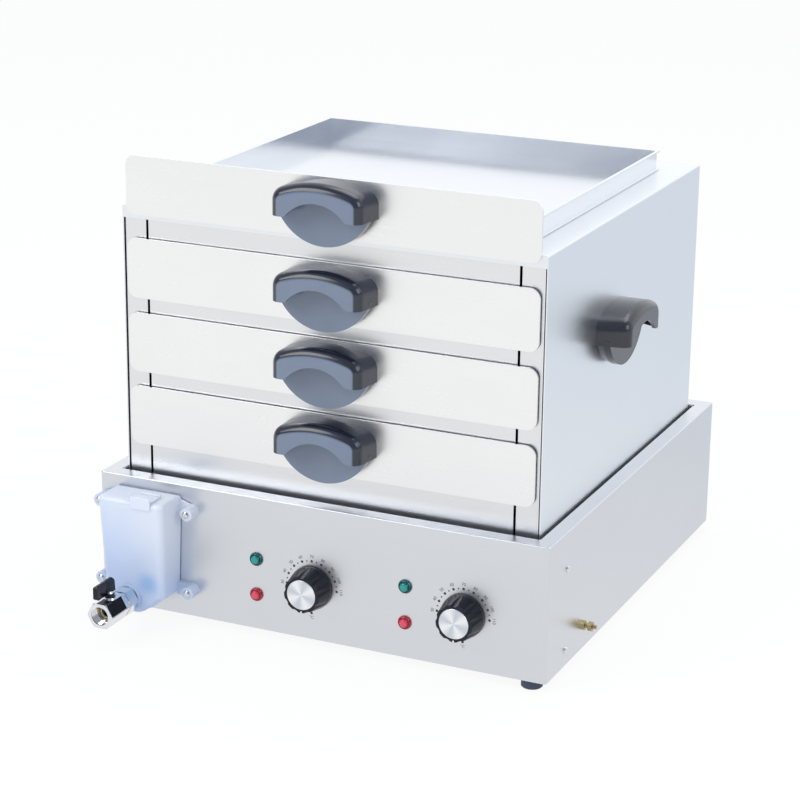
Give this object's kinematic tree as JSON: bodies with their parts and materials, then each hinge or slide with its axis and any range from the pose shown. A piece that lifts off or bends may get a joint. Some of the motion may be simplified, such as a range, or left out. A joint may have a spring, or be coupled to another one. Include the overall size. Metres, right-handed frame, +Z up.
{
  "type": "rice noodle roll steamer",
  "caption": "Countertop drawer steamer: steel cabinet of shallow trays with black cup handles on a water base with dials, lamps, sight tank and drain tap.",
  "frame": {"origin": "middle of the whole machine's footprint, tap and cable gland included, on the surface it stands on", "axes": "+Z up, -Y towards the user, out of the drawers and the tap, +X to the user's right"},
  "size_m": [0.5098, 0.595, 0.4665],
  "materials": {
    "base_steel": "brushed stainless sheet",
    "well_steel": "stainless sheet",
    "cabinet_steel": "brushed stainless sheet",
    "tray_steel": "bright stainless sheet",
    "fascia_steel": "brushed stainless sheet",
    "handle_black": "satin black moulding",
    "screw_steel": "bright",
    "foot_rubber": "matte",
    "element_steel": "dull tube",
    "brass": "turned",
    "bakelite": "semi-gloss moulding",
    "shaft_steel": "turned",
    "spun_aluminium": "spun",
    "green_lens": "translucent lens",
    "red_lens": "translucent lens",
    "terminal_white": "moulded",
    "gland_black": "moulded",
    "tank_plastic": "translucent blown polythene",
    "fitting_blue": "moulded",
    "hose_silicone": "translucent silicone",
    "tap_chrome": "plated brass",
    "seat_white": "PTFE",
    "lever_black": "gloss black coat"
  },
  "bodies": {
    "base": {"base_shell": "base_steel", "water_pan": "well_steel", "pan_ledges": "base_steel", "bottom_cover": "base_steel", "feet": "foot_rubber", "heater_left": "element_steel", "heater_right": "element_steel", "heater_nuts": "brass", "thermostat_left": "bakelite", "thermostat_right": "bakelite", "sensor_bulbs": "element_steel", "green_lamps": "green_lens", "red_lamps": "red_lens", "terminal_block": "terminal_white", "cable_gland": "gland_black", "bonding_stud": "brass", "shell_screws": "screw_steel", "sight_tank": "tank_plastic", "tank_screws": "screw_steel", "bulkhead_fitting": "fitting_blue", "feed_pipe": "hose_silicone", "tap_body": "tap_chrome", "tap_tail": "tap_chrome", "tap_washer": "foot_rubber", "tap_seats": "seat_white"},
    "flap": {"filler_flap": "tank_plastic"},
    "tap_lever": {"tap_ball": "tap_chrome", "tap_stem": "tap_chrome", "tap_handle": "lever_black"},
    "dial_left": {"knob_left": "bakelite", "knob_left_disc": "spun_aluminium", "knob_left_shaft": "shaft_steel"},
    "dial_right": {"knob_right": "bakelite", "knob_right_disc": "spun_aluminium", "knob_right_shaft": "shaft_steel"},
    "cabinet": {"cabinet_shell": "cabinet_steel", "cabinet_back": "cabinet_steel", "front_posts": "cabinet_steel", "cross_rails": "cabinet_steel", "lower_panel": "cabinet_steel", "drawer_runners": "cabinet_steel", "side_handle_left": "handle_black", "side_handle_right": "handle_black", "side_handle_screws": "screw_steel"},
    "low_drawer": {"low_tray_pan": "tray_steel", "low_tray_fascia": "fascia_steel", "low_tray_handle": "handle_black", "low_tray_screws": "screw_steel"},
    "mid_drawer": {"mid_tray_pan": "tray_steel", "mid_tray_fascia": "fascia_steel", "mid_tray_handle": "handle_black", "mid_tray_screws": "screw_steel"},
    "high_drawer": {"high_tray_pan": "tray_steel", "high_tray_fascia": "fascia_steel", "high_tray_handle": "handle_black", "high_tray_screws": "screw_steel"},
    "top_tray": {"top_tray_pan": "tray_steel", "top_tray_fascia": "fascia_steel", "top_tray_handle": "handle_black", "top_tray_screws": "screw_steel"}
  },
  "joints": [
    {"name": "cabinet_lift", "type": "slide", "parent": "base", "child": "cabinet", "axis": [0, 0, 1], "range_m": [0, 0.08]},
    {"name": "low_drawer_slide", "type": "slide", "parent": "cabinet", "child": "low_drawer", "axis": [0, -1, 0], "range_m": [0, 0.38]},
    {"name": "mid_drawer_slide", "type": "slide", "parent": "cabinet", "child": "mid_drawer", "axis": [0, -1, 0], "range_m": [0, 0.38]},
    {"name": "high_drawer_slide", "type": "slide", "parent": "cabinet", "child": "high_drawer", "axis": [0, -1, 0], "range_m": [0, 0.38]},
    {"name": "top_tray_lift", "type": "slide", "parent": "cabinet", "child": "top_tray", "axis": [0, 0, 1], "range_m": [0, 0.06]},
    {"name": "dial_left_turn", "type": "hinge", "parent": "base", "child": "dial_left", "pos_m": [-0.005, -0.20603, 0.0643], "axis": [0, 1, 0], "range_deg": [0, 270]},
    {"name": "dial_right_turn", "type": "hinge", "parent": "base", "child": "dial_right", "pos_m": [0.1547, -0.20603, 0.0643], "axis": [0, 1, 0], "range_deg": [0, 270]},
    {"name": "tap_turn", "type": "hinge", "parent": "base", "child": "tap_lever", "pos_m": [-0.189, -0.27757, 0.034], "axis": [0, 0, 1], "range_deg": [0, 90]},
    {"name": "flap_open", "type": "hinge", "parent": "base", "child": "flap", "pos_m": [-0.171, -0.22603, 0.1392], "axis": [-1, 0, 0], "range_deg": [0, 90]}
  ]
}
